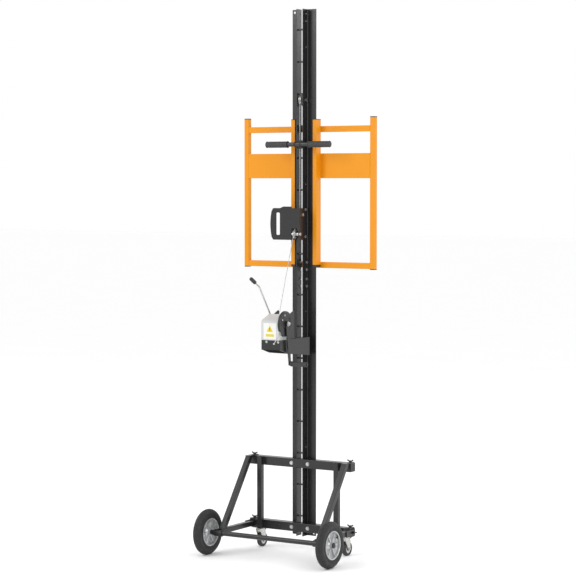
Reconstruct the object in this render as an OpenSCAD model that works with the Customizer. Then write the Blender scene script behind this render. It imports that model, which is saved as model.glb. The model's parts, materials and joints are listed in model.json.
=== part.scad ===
// Manually cranked mast lift on two road wheels and two swivel casters.
// Every piece is drawn around the mast: X runs across, Y runs from the
// operator's side (negative) to the load side (positive), Z is up from the
// floor. Y = 0 is the plane of the mast's front edges; placed() then moves
// the whole lift so that the origin is the centre of its footprint.

/* [Mast] */
// Length of one mast section
section_len = 1500; // [1400:10:1600]
// Height of the mast's lower end above the floor
mast_foot = 91; // [80:1:100]
// Half of the gap between the two webs
web_in = 18; // [17:0.5:20]
// Steel thickness of the mast angles
ang_t = 4; // [3:0.5:5]
// Depth of an angle's web, front edge to back face
ang_d = 54; // [52:1:58]
// Width of an angle's back flange, from the web's inner face
ang_w = 60; // [56:1:62]
// Number of rungs in a section
rung_n = 8; // [6:1:9]
// Spacing of the rungs
rung_pitch = 181; // [150:1:190]
// Diameter of a rung
rung_d = 10; // [8:1:12]
// Distance of the rung axis behind the front edges
rung_y = 14; // [12:1:18]

/* [Base] */
// Half length of the two cross rails
rail_half = 336; // [300:1:345]
// Side of the square rail tube
rail_side = 50; // [45:1:50]
// Underside of the lower rail
rail_lo = 115; // [112:1:120]
// Underside of the upper rail
rail_hi = 484; // [440:1:500]
// Side of the light tube of the arms, braces and uprights
tube_side = 30; // [25:1:32]
// Half distance between the two arms
arm_x = 321; // [300:1:321]
// Half distance between the two uprights
upright_x = 256; // [230:1:262]
// Wall of the light tubes
tube_t = 2; // [1.5:0.5:3]

/* [Road wheels] */
// Diameter over the tyre
wheel_d = 260; // [250:1:260]
// Width of the tyre
tyre_w = 48; // [44:1:50]
// Half of the track
wheel_x = 403; // [400:1:404]
// Distance of the axle in front of the mast
axle_y = 340; // [330:1:345]
// Diameter of the axle tube
axle_d = 28; // [25:1:30]
// Diameter of the wheel journals
journal_d = 20; // [16:1:22]

/* [Casters] */
// Diameter of the caster wheel
caster_d = 80; // [75:1:80]
// Width of the caster wheel
caster_w = 25; // [20:1:26]
// Half distance between the swivel axes
caster_x = 285; // [270:1:290]
// Trail of the caster wheel behind its swivel axis
caster_trail = 24; // [20:1:28]

/* [Carriage] */
// Half width over the outer posts
carriage_half = 435; // [420:1:440]
// Underside of the outer posts
post_lo = 1622; // [1600:1:1700]
// Height of the outer posts
post_h = 860; // [800:10:870]
// Height of the cross rails
cross_h = 34; // [30:1:36]
// Height of the wide panels
panel_h = 141; // [120:1:150]
// Height of the panels' lower edge above the post's lower end
panel_up = 514; // [500:1:530]
// Outer half width of the two slide channels
chan_x = 84; // [83:0.5:86]
// Front face of the slide channels
chan_y0 = 44.5; // [44:0.5:45]
// Depth of the slide channels
chan_d = 48; // [46:1:50]

/* [Handles and guides] */
// Height of the tilting handle
tbar_z = 2327; // [2250:1:2400]
// Length over the two grips
tbar_len = 420; // [380:10:440]
// Diameter of the grips
grip_d = 34; // [30:1:36]
// Height of the guide bracket's lower edge
guide_z = 1787; // [1780:1:1800]
// Height of the guide bracket
guide_h = 180; // [170:1:190]
// Height of the head sheave's axis
head_z = 2578; // [2500:1:2700]

/* [Winch] */
// Distance of the crank shaft in front of the mast
crank_y = 254; // [250:1:258]
// Height of the crank shaft
crank_z = 1326; // [1320:1:1330]
// Length of the crank arm between its axes
crank_r = 226; // [200:1:240]
// Teeth of the pinion
pinion_n = 17; // [17:1:17]
// Teeth of the drum gear
gear_n = 51; // [51:1:51]
// Module of the gear pair
gear_m = 1.5; // [1.5:0.5:1.5]
// Radius at which the cable's centre line runs on the drum
drum_pitch_r = 32; // [30:1:34]
// Cable diameter
cable_d = 4; // [3:0.5:4]

/* [Hidden] */

$fn = 48;
eps = 0.01;

web_out = web_in + ang_t;                 // outer face of a web
flange_x = web_in + ang_w;                // outer edge of a back flange
flange_y = ang_d - ang_t;                 // front face of the back flanges
splice_z = mast_foot + section_len;       // joint of the two sections
mast_top = mast_foot + 2 * section_len;
rung_first = (section_len - (rung_n - 1) * rung_pitch) / 2;
splice_y = 36;                            // splice holes behind the front edge
splice_near = 27;                         // splice holes from the section's end
splice_far = 68;
bolt_x = 54;                              // mast bolts through rails and flanges

wheel_r = wheel_d / 2;
back_y = chan_y0 + chan_d;                // back of the channels, front of the frame
tube_back = back_y + tube_side;
frame_y = (axle_y + wheel_r - tube_back) / 2;

post_in = carriage_half - tube_side;
post_hi = post_lo + post_h;
cap_t = 5;
cross_lo = post_lo + 4;                   // lower cross rail's underside
cross_hi = post_hi - 50 - cross_h;        // upper cross rail's underside
chan_lo = post_lo + 23;
chan_hi = post_hi - 15;
shoe_h = 60;
anchor_y = 63;                            // the falling cable's line
anchor_z = 1690;                          // where the falling cable is held

// Sheaves as [y, z, radius of the cable's centre line]
low_sheave = [-43, 1820, 20];
high_sheave = [-13, 1930, 16];
head_sheave_at = [33, head_z, 30];

// Gear pair: the drum hangs behind and below the crank shaft
gear_dist = gear_m * (pinion_n + gear_n) / 2;
gear_dir = -30.6;
shaft = [-crank_y, crank_z];
drum_at = [shaft[0] + gear_dist * cos(gear_dir), shaft[1] + gear_dist * sin(gear_dir)];
drum_sheave = [drum_at[0], drum_at[1], drum_pitch_r];

tray_z = 1236;                            // top of the winch tray
tray_front = 305;
tray_half = 62;
frame_in = 48;                            // inner faces of the winch cheeks
frame_t = 4;
house_x0 = -60;
house_x1 = 57;
house_front = 311;
cover_r = 72;
pawl_at = [-300, 1281];
lever_at = [-181, 1335];
lever_x = -66;

black = [0.10, 0.10, 0.11];
orange = [0.95, 0.62, 0.14];
zinc = [0.72, 0.72, 0.70];
nylon = [0.85, 0.84, 0.80];

// ---------------------------------------------------------------- helpers

// The whole lift, moved so that its footprint is centred on the origin
module placed() { translate([0, frame_y, 0]) children(); }

// Children on the left (-1) or right (1) side
module side(s) { if (s < 0) mirror([1, 0, 0]) children(); else children(); }

// Box from its low corner to its high corner
module span(a, b) { translate(a) cube([b[0] - a[0], b[1] - a[1], b[2] - a[2]]); }

// Cylinder along X from x0 to x1 about the axis [y, z]
module rod_x(at, x0, x1, d) {
  translate([x0, at[0], at[1]]) rotate([0, 90, 0]) cylinder(d = d, h = x1 - x0);
}

// Cylinder along Y from y0 to y1 about the axis [x, z]
module rod_y(at, y0, y1, d) {
  translate([at[0], y0, at[1]]) rotate([-90, 0, 0]) cylinder(d = d, h = y1 - y0);
}

// Outline in the Y-Z plane, extruded along X from x0 to x1
module plate_x(x0, x1) {
  translate([x0, 0, 0]) rotate([90, 0, 90]) linear_extrude(x1 - x0) children();
}

// Profile of [radius, x] turned about an X axis at [y, z]
module turned_x(at) {
  translate([0, at[0], at[1]]) rotate([0, 90, 0]) rotate_extrude() children();
}

// Square with rounded corners, centred
module round_square(w, h, r) {
  union() {
    square([w, h - 2 * r], center = true);
    square([w - 2 * r, h], center = true);
    for (i = [-1, 1], j = [-1, 1]) translate([i * (w / 2 - r), j * (h / 2 - r)]) circle(r);
  }
}

// Rectangular tube section, w by h
module tube_section(w, h, t, r = 3) {
  difference() {
    round_square(w, h, r);
    round_square(w - 2 * t, h - 2 * t, max(r - t, 0.6));
  }
}

// Tube along X
module tube_x(x0, x1, yc, zc, w, h, t) {
  translate([x0, yc, zc]) rotate([90, 0, 90]) linear_extrude(x1 - x0) tube_section(w, h, t);
}

// Tube along Z
module tube_z(z0, z1, xc, yc, w, h, t) {
  translate([xc, yc, z0]) linear_extrude(z1 - z0) tube_section(w, h, t);
}

// Hexagon bolt along X: head beyond x_head, shank to x_end, nut face at x_nut
module bolt_x_axis(at, x_head, x_nut, d, af) {
  s = x_nut > x_head ? 1 : -1;
  k = 0.65 * d;
  translate([x_head, at[0], at[1]]) rotate([0, s * 90, 0]) {
    translate([0, 0, -k]) cylinder(r = af / 2 / cos(30), h = k, $fn = 6);
    cylinder(d = d, h = abs(x_nut - x_head) + 0.8 * d + 2);
    translate([0, 0, abs(x_nut - x_head)]) cylinder(r = af / 2 / cos(30), h = 0.8 * d, $fn = 6);
  }
}

// Hexagon bolt along Y from a head at y_head to a nut at y_nut
module bolt_y_axis(at, y_head, y_nut, d, af) {
  rotate([0, 0, 90]) bolt_x_axis([-at[0], at[1]], y_head, y_nut, d, af);
}

// ------------------------------------------------------------------- mast

// Section of one angle: web forward, flange outward, both bends rounded
module angle_section() {
  union() {
    difference() {
      translate([web_in, 0]) square([ang_t, ang_d]);
      difference() {
        translate([web_in - 1, ang_d - 4]) square([5, 5]);
        translate([web_in + 4, ang_d - 4]) circle(4);
      }
    }
    translate([web_in + 4, flange_y]) square([ang_w - 4, ang_t]);
    difference() {
      translate([web_out - eps, flange_y - 5]) square([5, 5 + eps]);
      translate([web_out + 5, flange_y - 5]) circle(5);
    }
  }
}

function rung_z(i) = rung_first + i * rung_pitch;

// One angle of a section. notch: cut for the two base rails
module mast_angle(z0, s, notch) {
  hole_z = s < 0 ? section_len - 16 : 16;  // only at the mast's two ends
  placed() side(s) difference() {
    translate([0, 0, z0]) linear_extrude(section_len) angle_section();
    for (i = [0 : rung_n - 1])
      rod_x([rung_y, z0 + rung_z(i)], web_in - 1, web_out + 1, rung_d + 0.1);
    for (z = [splice_near, splice_far, section_len - splice_far, section_len - splice_near])
      rod_x([splice_y, z0 + z], web_in - 1, web_out + 1, 9);
    for (z = [511, 1287]) rod_x([splice_y, z0 + z], web_in - 1, web_out + 1, 8);
    if (notch == (s > 0)) rod_y([64, z0 + hole_z], flange_y - 1, ang_d + 1, 14);
    if (notch) for (z = [rail_lo, rail_hi]) {
      span([web_in - 1, -1, z - 0.15], [web_out + 6, flange_y, z + rail_side + 0.15]);
      rod_y([bolt_x, z + rail_side / 2], flange_y - 1, ang_d + 1, 10.6);
    }
    if (notch) for (z = [1165, 1203]) rod_x([25, z], web_in - 1, web_out + 1, 8.6);
    if (!notch) {
      for (z = [guide_z + 17, guide_z + 172]) rod_x([22, z], web_in - 1, web_out + 1, 8.6);
      rod_x([22, tbar_z], web_in - 1, web_out + 1, 8.6);
      rod_x([head_sheave_at[0], head_z], web_in - 1, web_out + 1, 10.4);
    }
  }
}
module mast_lower_left() color(black) mast_angle(mast_foot, -1, true);
module mast_lower_right() color(black) mast_angle(mast_foot, 1, true);
module mast_upper_left() color(black) mast_angle(splice_z, -1, false);
module mast_upper_right() color(black) mast_angle(splice_z, 1, false);

// Round bars that tie the webs together
module rungs() color(black) placed()
  for (z0 = [mast_foot, splice_z], i = [0 : rung_n - 1])
    rod_x([rung_y, z0 + rung_z(i)], -web_out, web_out, rung_d);

// Fish plates on the outer faces of the webs
module splice_plates() color(black) placed() for (s = [-1, 1]) side(s) difference() {
  span([web_out, 20, splice_z - 92], [web_out + 4, 44, splice_z + 92]);
  for (z = [-splice_far, -splice_near, splice_near, splice_far])
    rod_x([splice_y, splice_z + z], web_out - 1, web_out + 5, 9);
}

// Every hexagon bolt and nut of the fixed frame
module frame_bolts() color(zinc) placed() {
  for (s = [-1, 1]) side(s) {
    for (z = [-splice_far, -splice_near, splice_near, splice_far])
      bolt_x_axis([splice_y, splice_z + z], web_out + 4, web_in, 8, 13);
    for (z = [rail_lo, rail_hi])
      bolt_y_axis([bolt_x, z + rail_side / 2], 0, ang_d, 10, 17);
    for (z = [guide_z + 17, guide_z + 172])
      bolt_x_axis([22, z], web_out + 4.2, web_in, 8, 13);
    bolt_x_axis([22, tbar_z], web_out + 4.2, web_in, 8, 13);
    for (z = [1165, 1203]) bolt_x_axis([25, z], web_out + 4.2, web_in, 8, 13);
    for (y = [-280, -175]) translate([36, y, tray_z + 4]) {
      cylinder(r = 7.5, h = 5.2, $fn = 6);
      translate([0, 0, -17]) cylinder(d = 8, h = 18);
      translate([0, 0, -14.5]) cylinder(r = 7.5, h = 6.4, $fn = 6);
    }
  }
}

// ------------------------------------------------------------------- base

// Cross rail with holes for the mast bolts and the wing screws
module rail(z) color(black) placed() difference() {
  tube_x(-rail_half, rail_half, rail_side / 2, z + rail_side / 2, rail_side, rail_side, 2.5);
  for (s = [-1, 1]) {
    rod_y([s * bolt_x, z + rail_side / 2], -1, rail_side + 1, 10.6);
    translate([s * arm_x, 25, z + rail_side - 4]) cylinder(d = 8.4, h = 6);
  }
}
module rail_upper() rail(rail_hi);
module rail_lower() rail(rail_lo);

// Uprights welded across the front faces of both rails
module base_uprights() color(black) placed() for (s = [-1, 1])
  tube_z(rail_lo, rail_hi + rail_side, s * upright_x, -tube_side / 2, tube_side, tube_side, tube_t);

arm_z = rail_lo + 24;                     // centre height of the arms
brace_y0 = -32;                           // brace centre line at the upper rail
brace_lean = 35.6;                        // lean of the braces from upright

// Diagonal brace with its lug on top of the upper rail
module brace(s) color(black) placed() side(s) {
  top = rail_hi + rail_side;
  foot = arm_z + tube_side / 2;
  difference() {
    translate([arm_x, brace_y0, top]) rotate([-brace_lean, 0, 0])
      translate([0, 0, -520]) linear_extrude(560) tube_section(tube_side, tube_side, tube_t);
    span([arm_x - 40, -400, top], [arm_x + 40, 200, top + 120]);
    span([arm_x - 40, -600, foot - 200], [arm_x + 40, 0, foot]);
  }
  difference() {
    span([arm_x - 15, -52, top], [arm_x + 15, 44, top + 4]);
    translate([arm_x, 25, top - 1]) cylinder(d = 8.6, h = 6);
  }
}
module brace_left() brace(-1);
module brace_right() brace(1);

// Arm from the lower rail to the axle, with its axle sleeve and end plate
module arm(s) color(black) placed() side(s) difference() {
  union() {
    translate([arm_x, 0, arm_z]) rotate([90, 0, 0]) linear_extrude(axle_y)
      tube_section(tube_side, tube_side, tube_t);
    rod_x([-axle_y, wheel_r], arm_x - 20, arm_x + 20, axle_d + 9);
    span([rail_half, -48, rail_lo + 5], [rail_half + 5, 46, rail_lo + 43]);
    span([arm_x - 15, -4, arm_z], [arm_x + 15, 0, rail_lo + rail_side + 4]);
    span([arm_x - 15, -4, rail_lo + rail_side], [arm_x + 15, 44, rail_lo + rail_side + 4]);
  }
  translate([arm_x, 25, rail_lo + rail_side - 1]) cylinder(d = 8.6, h = 6);
  rod_x([-axle_y, wheel_r], arm_x - 21, arm_x + 21, axle_d + 0.2);
  rod_x([25, arm_z], rail_half - 1, rail_half + 6, 8.6);
}
module arm_left() arm(-1);
module arm_right() arm(1);

// Hand-turned wing screw pointing along +Z from its shoulder
module wing_screw(reach) {
  translate([0, 0, -reach]) cylinder(d = 8, h = reach + 1);
  cylinder(d = 18, h = 4);
  cylinder(d = 14, h = 10);
  for (a = [0, 180]) rotate([0, 0, a]) rotate([90, 0, 0]) translate([0, 0, -2.5])
    linear_extrude(5) polygon([[5, 4.5], [14, 5], [19, 9], [18, 14], [15, 15], [10, 11], [5, 9]]);
}
module wing_screws() color(black) placed() for (s = [-1, 1]) side(s) {
  for (z = [rail_lo, rail_hi]) translate([arm_x, 25, z + rail_side + 4.1]) wing_screw(22);
  translate([rail_half + 5.1, 25, arm_z]) rotate([0, 90, 0]) rotate([0, 0, 90]) wing_screw(4.9);
}

// Axle with turned shoulders, set collars and journals
module axle() color([0.35, 0.35, 0.36]) placed() turned_x([-axle_y, wheel_r]) union() {
  hub = wheel_x - tyre_w / 2 - 0.5;
  translate([0, -hub]) square([axle_d / 2, 2 * hub]);
  translate([0, -(wheel_x + 30)]) square([journal_d / 2, 2 * (wheel_x + 30)]);
  for (s = [-1, 1]) {
    translate([0, s * (arm_x + 26) - 5]) square([axle_d / 2 + 6, 10]);
    translate([0, s * (wheel_x + 27) - 2]) square([journal_d / 2 + 5, 4]);
  }
}

// ------------------------------------------------------------ road wheels

rim_r = 79;                               // seat of the tyre on the rim

// Half-round tyre section on a straight-sided bead
module tyre(s) color([0.07, 0.07, 0.07]) placed() translate([s * wheel_x, 0, 0])
  turned_x([-axle_y, wheel_r]) union() {
    translate([rim_r, -tyre_w / 2]) square([wheel_r - rim_r - tyre_w / 2, tyre_w]);
    intersection() {
      translate([wheel_r - tyre_w / 2, 0]) circle(tyre_w / 2, $fn = 64);
      translate([wheel_r - tyre_w / 2 - eps, -tyre_w / 2]) square([tyre_w, tyre_w]);
    }
  }
module tyre_left() tyre(-1);
module tyre_right() tyre(1);

// Pressed rim: well, disc, hub sleeve and radial ribs on both sides
module rim(s) color([0.55, 0.56, 0.58]) placed() translate([s * wheel_x, 0, 0]) difference() {
  union() {
    turned_x([-axle_y, wheel_r]) union() {
      translate([rim_r - 6, -tyre_w / 2 + 3]) square([5.9, tyre_w - 6]);
      translate([15, -3]) square([rim_r - 15.1, 6]);
      translate([0, -tyre_w / 2 + 0.2]) square([19, tyre_w - 0.4]);
    }
    for (a = [0 : 60 : 300]) translate([0, -axle_y, wheel_r]) rotate([a, 0, 0])
      span([-14, 17, -3], [14, rim_r - 4, 3]);
  }
  rod_x([-axle_y, wheel_r], -tyre_w, tyre_w, journal_d + 0.1);
  for (a = [30 : 60 : 330], e = [-1, 1]) translate([0, -axle_y, wheel_r]) rotate([a, 0, 0])
    rod_x([48, 0], e > 0 ? 1.2 : -5, e > 0 ? 5 : -1.2, 26);
}
module rim_left() rim(-1);
module rim_right() rim(1);

// ---------------------------------------------------------------- casters

caster_y = 25;
caster_r = caster_d / 2;
fork_top = rail_lo - 6.2;

// Flanged caster plates with their king pins
module caster_plates() color(zinc) placed() for (s = [-1, 1])
  translate([s * caster_x, caster_y, 0]) union() {
    translate([-42, -25, rail_lo - 3]) cube([84, 50, 3]);
    translate([0, 0, rail_lo - 6]) cylinder(d = 40, h = 3 + eps);
    translate([0, 0, fork_top - 7]) cylinder(d = 12, h = 9);
    translate([0, 0, fork_top - 7]) cylinder(d = 18, h = 3.7);
  }

// Side cheek of a fork in its own Y-Z plane
module fork_cheek() {
  t = caster_trail;
  union() {
    polygon([[-20, fork_top - 8], [26, fork_top - 8], [t + 14, fork_top - 26],
             [t + 10.4, caster_r + 4], [t - 10.4, caster_r - 4], [-8, fork_top - 34]]);
    translate([t, caster_r]) circle(11);
  }
}

// Swivelling fork
module caster_fork(s) color(zinc) placed() translate([s * caster_x, caster_y, 0]) difference() {
  union() {
    translate([0, 0, fork_top - 3]) cylinder(d = 44, h = 3);
    translate([-17, -20, fork_top - 3]) cube([34, 46, 3]);
    for (m = [-1, 1]) plate_x(m * 15.5 - 1.5, m * 15.5 + 1.5) union() {
      fork_cheek();
      translate([-20, fork_top - 9]) square([46, 9]);
    }
  }
  translate([0, 0, fork_top - 12]) cylinder(d = 12.1, h = 14);
  rod_x([caster_trail, caster_r], -20, 20, 8.2);
}
module caster_fork_left() caster_fork(-1);
module caster_fork_right() caster_fork(1);

// Wheel bolt with head and nut
module caster_pin(s) color(zinc) placed() translate([s * caster_x, caster_y, 0])
  bolt_x_axis([caster_trail, caster_r], 17, -17, 8, 13);
module caster_pin_left() caster_pin(-1);
module caster_pin_right() caster_pin(1);

// Solid caster wheel with rounded tread
module caster_wheel(s) color([0.12, 0.12, 0.12]) placed()
  translate([s * caster_x, caster_y + caster_trail, caster_r]) rotate([0, 90, 0]) rotate_extrude()
    difference() {
      union() {
        translate([4.05, -13]) square([8, 26]);
        translate([10, -9]) square([20, 18]);
        translate([27, -caster_w / 2]) square([caster_r - 31, caster_w]);
        translate([27, -caster_w / 2 + 4]) square([caster_r - 27, caster_w - 8]);
        for (m = [-1, 1]) translate([caster_r - 4, m * (caster_w / 2 - 4)]) circle(4);
      }
      translate([0, -20]) square([4.05, 40]);
    }
module caster_wheel_left() caster_wheel(-1);
module caster_wheel_right() caster_wheel(1);

// Brake pedal hinged on the back of the fork
brake_at = [35, fork_top - 14];           // pedal pivot from the swivel axis
module caster_brake(s) color(black) placed() translate([s * caster_x, caster_y, 0]) union() {
  rod_x(brake_at, -13.6, 13.6, 8);
  plate_x(-13.6, 13.6) polygon([[brake_at[0] - 2, brake_at[1] + 3.4], [brake_at[0] + 6, brake_at[1] + 8],
    [brake_at[0] + 26, brake_at[1] + 9], [brake_at[0] + 26, brake_at[1] + 5.5],
    [brake_at[0] + 8, brake_at[1] + 4], [brake_at[0] + 2, brake_at[1] - 1]]);
}
module caster_brake_left() caster_brake(-1);
module caster_brake_right() caster_brake(1);

// ------------------------------------------------------ handles and guides

// Tilting handle: bar, saddle plate and two ears outside the webs
module tbar() color(black) placed() difference() {
  union() {
    rod_x([-16.5, tbar_z], -tbar_len / 2 + 6, tbar_len / 2 - 6, 25);
    span([-web_out - 4.2, -5, tbar_z - 24], [web_out + 4.2, 0, tbar_z + 24]);
    for (m = [-1, 1]) {
      span([m * (web_out + 2.2) - 2, -5, tbar_z - 24], [m * (web_out + 2.2) + 2, 38, tbar_z + 24]);
      span([m * 18 - 3, -22, tbar_z - 16], [m * 18 + 3, -4, tbar_z + 16]);
    }
  }
  rod_x([22, tbar_z], -40, 40, 8.6);
  rod_x([-16.5, tbar_z], -tbar_len, tbar_len, 20.6);
}

// Moulded grips, each closed at its outer end
module tbar_grips() color([0.16, 0.16, 0.17]) placed() for (s = [-1, 1]) side(s)
  turned_x([-16.5, tbar_z]) difference() {
    translate([0, tbar_len / 2 - 142]) union() {
      square([grip_d / 2, 142]);
      square([grip_d / 2 + 2, 5]);
    }
    translate([0, tbar_len / 2 - 150]) square([12.6, 144.2]);
  }

// Guide bracket: two cheeks beside the webs, a top bridge and a hand plate
hand_front = 52;
hand_left = 164;
module guide_bracket() color(black) placed() difference() {
  union() {
    for (m = [-1, 1]) plate_x(m * (web_out + 2.2) - 2, m * (web_out + 2.2) + 2)
      polygon([[-hand_front, guide_z], [38, guide_z], [38, guide_z + guide_h],
               [-hand_front, guide_z + guide_h]]);
    span([-web_out - 4.2, -hand_front, guide_z + 66],
         [web_out + 4.2, -hand_front + 3, guide_z + guide_h]);
    translate([0, -hand_front + 3, guide_z]) rotate([90, 0, 0]) linear_extrude(3) difference() {
      union() {
        translate([-hand_left + 22, 0]) square([hand_left - 22 - web_out, guide_h]);
        translate([-hand_left + 26, 14]) circle(14);
        translate([-hand_left + 26, guide_h - 14]) circle(14);
        intersection() {
          translate([-hand_left + 330, guide_h / 2]) circle(330, $fn = 96);
          translate([-hand_left - 1, 14]) square([40, guide_h - 28]);
        }
        polygon([[-100, guide_h - 1], [-78, guide_h + 9], [-web_out, guide_h + 9],
                 [-web_out, guide_h - 1]]);
      }
      translate([-112, guide_h / 2 + 1]) round_square(24, 127, 7);
    }
  }
  for (q = [low_sheave, high_sheave]) rod_x([q[0], q[1]], -40, 40, 10.4);
  for (z = [guide_z + 17, guide_z + 172]) rod_x([22, z], -40, 40, 8.6);
}

// Axle bolts of the three sheaves
module sheave_axles() color(zinc) placed() {
  for (q = [low_sheave, high_sheave]) {
    translate([web_out + 4.2, q[0], q[1]]) rotate([0, 90, 0])
      cylinder(r = 8.5 / cos(30), h = 6.5, $fn = 6);
    rod_x([q[0], q[1]], -web_out - 6.5, web_out + 4.3, 10);
    rod_x([q[0], q[1]], -web_out - 6.5, -web_out - 4.3, 11.6);
  }
  bolt_x_axis([head_sheave_at[0], head_z], web_out, -web_out, 10, 17);
}

// Grooved sheave with a long hub that fills the space between its cheeks
module sheave(q, hub_half) color(zinc) placed() turned_x([q[0], q[1]]) difference() {
  union() {
    translate([5.05, -hub_half]) square([4.5, 2 * hub_half]);
    translate([5.05, -6]) square([q[2] + 4 - 5.05, 12]);
  }
  translate([q[2] + 0.4, 0]) circle(2.6);
  polygon([[q[2] + 0.4, -2.6], [q[2] + 0.4, 2.6], [q[2] + 5, 4.6], [q[2] + 5, -4.6]]);
}
module guide_sheave_low() sheave(low_sheave, 21.5);
module guide_sheave_high() sheave(high_sheave, 21.5);
module head_sheave() sheave(head_sheave_at, 17.5);

// --------------------------------------------------------------- carriage

// C channel that hooks round the edge of a mast flange
module channel(s) color(orange) placed() side(s) translate([0, 0, chan_lo])
  linear_extrude(chan_hi - chan_lo) difference() {
    translate([60, chan_y0]) square([chan_x - 60, chan_d]);
    translate([59, chan_y0 + 3]) square([chan_x - 62, chan_d - 6]);
  }
module channel_left() channel(-1);
module channel_right() channel(1);

// Outer post
module post(s) color(orange) placed()
  tube_z(post_lo + cap_t, post_hi - cap_t, s * (carriage_half - tube_side / 2),
         back_y + tube_side / 2, tube_side, tube_side, tube_t);
module post_left() post(-1);
module post_right() post(1);

// Full-width cross rails behind the channels
module cross_rail(z) color(orange) placed()
  tube_x(-post_in, post_in, back_y + tube_side / 2, z + cross_h / 2, tube_side, cross_h, tube_t);
module cross_rail_top() cross_rail(cross_hi);
module cross_rail_bottom() cross_rail(cross_lo);

// Wide sheet panel with its edges folded back
module panel(s) color(orange) placed() side(s) {
  z0 = post_lo + panel_up;
  span([chan_x - 14, back_y, z0], [post_in, back_y + 2.5, z0 + panel_h]);
  for (z = [z0, z0 + panel_h - 2.5])
    span([chan_x - 14, back_y, z], [post_in, back_y + 16, z + 2.5]);
}
module panel_left() panel(-1);
module panel_right() panel(1);

// Plugs that close the posts and the channel ends
module carriage_caps() color(black) placed() for (s = [-1, 1]) side(s) {
  for (t = [0, 1]) translate([carriage_half - tube_side / 2, back_y + tube_side / 2,
                              t ? post_hi - cap_t : post_lo]) {
    linear_extrude(cap_t) round_square(tube_side, tube_side, 3);
    translate([0, 0, t ? -12 : cap_t]) linear_extrude(12)
      round_square(tube_side - 2 * tube_t - 0.4, tube_side - 2 * tube_t - 0.4, 1);
  }
  translate([0, 0, chan_hi]) linear_extrude(4)
    translate([(60 + chan_x) / 2, chan_y0 + chan_d / 2]) difference() {
      square([chan_x - 60, chan_d], center = true);
      translate([-3, -chan_d / 2 + 7.5]) square([chan_x - 60, 7], center = true);
    }
  translate([0, 0, chan_lo - 12]) linear_extrude(12)
    translate([(60 + chan_x) / 2, chan_y0 + chan_d / 2]) difference() {
      square([chan_x - 60, chan_d], center = true);
      translate([-3, -chan_d / 2 + 7.5]) square([chan_x - 60, 7], center = true);
    }
}

// Nylon shoes inside the channels, slotted for the mast flange
module slide_shoes() color(nylon) placed() for (s = [-1, 1], z = [chan_lo + 15, chan_hi - 15 - shoe_h])
  side(s) difference() {
    span([60.5, chan_y0 + 3, z], [chan_x - 3, back_y - 3, z + shoe_h]);
    span([59, flange_y - 0.35, z - 1], [flange_x + 0.5, ang_d + 0.35, z + shoe_h + 1]);
    rod_y([70, z + shoe_h / 2], ang_d + 8, back_y, 10);
  }

// Bracket and threaded socket that hold the falling end of the cable
module cable_anchor() color(zinc) placed() union() {
  difference() {
    union() {
      span([-28, back_y - 4, cross_lo], [28, back_y, cross_lo + 44]);
      span([-14, anchor_y - 13, cross_lo + 40], [14, back_y, cross_lo + 44]);
      for (m = [-1, 1]) span([m * 12.5 - 1.5, anchor_y + 8, cross_lo + 18],
                             [m * 12.5 + 1.5, back_y, cross_lo + 44]);
    }
    translate([0, anchor_y, cross_lo]) cylinder(d = 10, h = 60);
  }
  translate([0, anchor_y, cross_lo + 14]) cylinder(d = 10, h = anchor_z - cross_lo - 14);
  for (z = [cross_lo + 32, cross_lo + 44])
    translate([0, anchor_y, z]) cylinder(r = 9.8, h = 8, $fn = 6);
}

// Falling part of the cable, from the head sheave to the anchor
module cable_drop() color([0.62, 0.63, 0.64]) placed()
  translate([0, anchor_y, anchor_z]) cylinder(d = cable_d, h = head_z - 0.6 - anchor_z);

// ------------------------------------------------------------------ winch

// Bracket: tray, front lip, two tapering side plates and a back plate
module winch_bracket() color(black) placed() difference() {
  union() {
    for (m = [-1, 1]) plate_x(m * (tray_half - 2) - 2, m * (tray_half - 2) + 2)
      polygon([[-tray_front, tray_z], [-tray_front, 1181], [-225, 1158], [-4, 1134], [8, 1134],
               [8, tray_z]]);
    span([-tray_half, -tray_front, tray_z - 4], [tray_half, 0, tray_z]);
    span([-tray_half, -tray_front, 1181], [tray_half, -tray_front + 4, tray_z]);
    span([-tray_half, -4, 1134], [tray_half, 0, tray_z]);
    for (m = [-1, 1])
      span([m * (web_out + 2.2) - 2, -4, 1146], [m * (web_out + 2.2) + 2, 40, 1222]);
  }
  for (m = [-1, 1], y = [-280, -175]) translate([m * 36, y, tray_z - 6]) cylinder(d = 9, h = 8);
  for (z = [1165, 1203]) rod_x([25, z], -30, 30, 8.6);
}

// Outline of a winch cheek
module cheek_outline() {
  polygon([[-296, tray_z], [-296, 1322], [-262, 1352], [-209, 1367], [-148, 1394], [-141, 1386],
           [-141, tray_z]]);
}

// Folded winch frame: base plate and two cheeks with the shaft bores
module winch_frame() color(black) placed() difference() {
  union() {
    for (m = [-1, 1]) plate_x(m * (frame_in + frame_t / 2) - frame_t / 2,
                              m * (frame_in + frame_t / 2) + frame_t / 2) cheek_outline();
    span([-frame_in - 1, -296, tray_z], [frame_in + 1, -141, tray_z + 4]);
  }
  rod_x(drum_at, -80, 80, 16.1);
  rod_x(shaft, -80, 80, 14.1);
  rod_x(pawl_at, 0, 80, 8.1);
  rod_x(lever_at, -80, 0, 8.1);
  for (m = [-1, 1], y = [-280, -175]) translate([m * 36, y, tray_z - 1]) cylinder(d = 9, h = 8);
}

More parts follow.
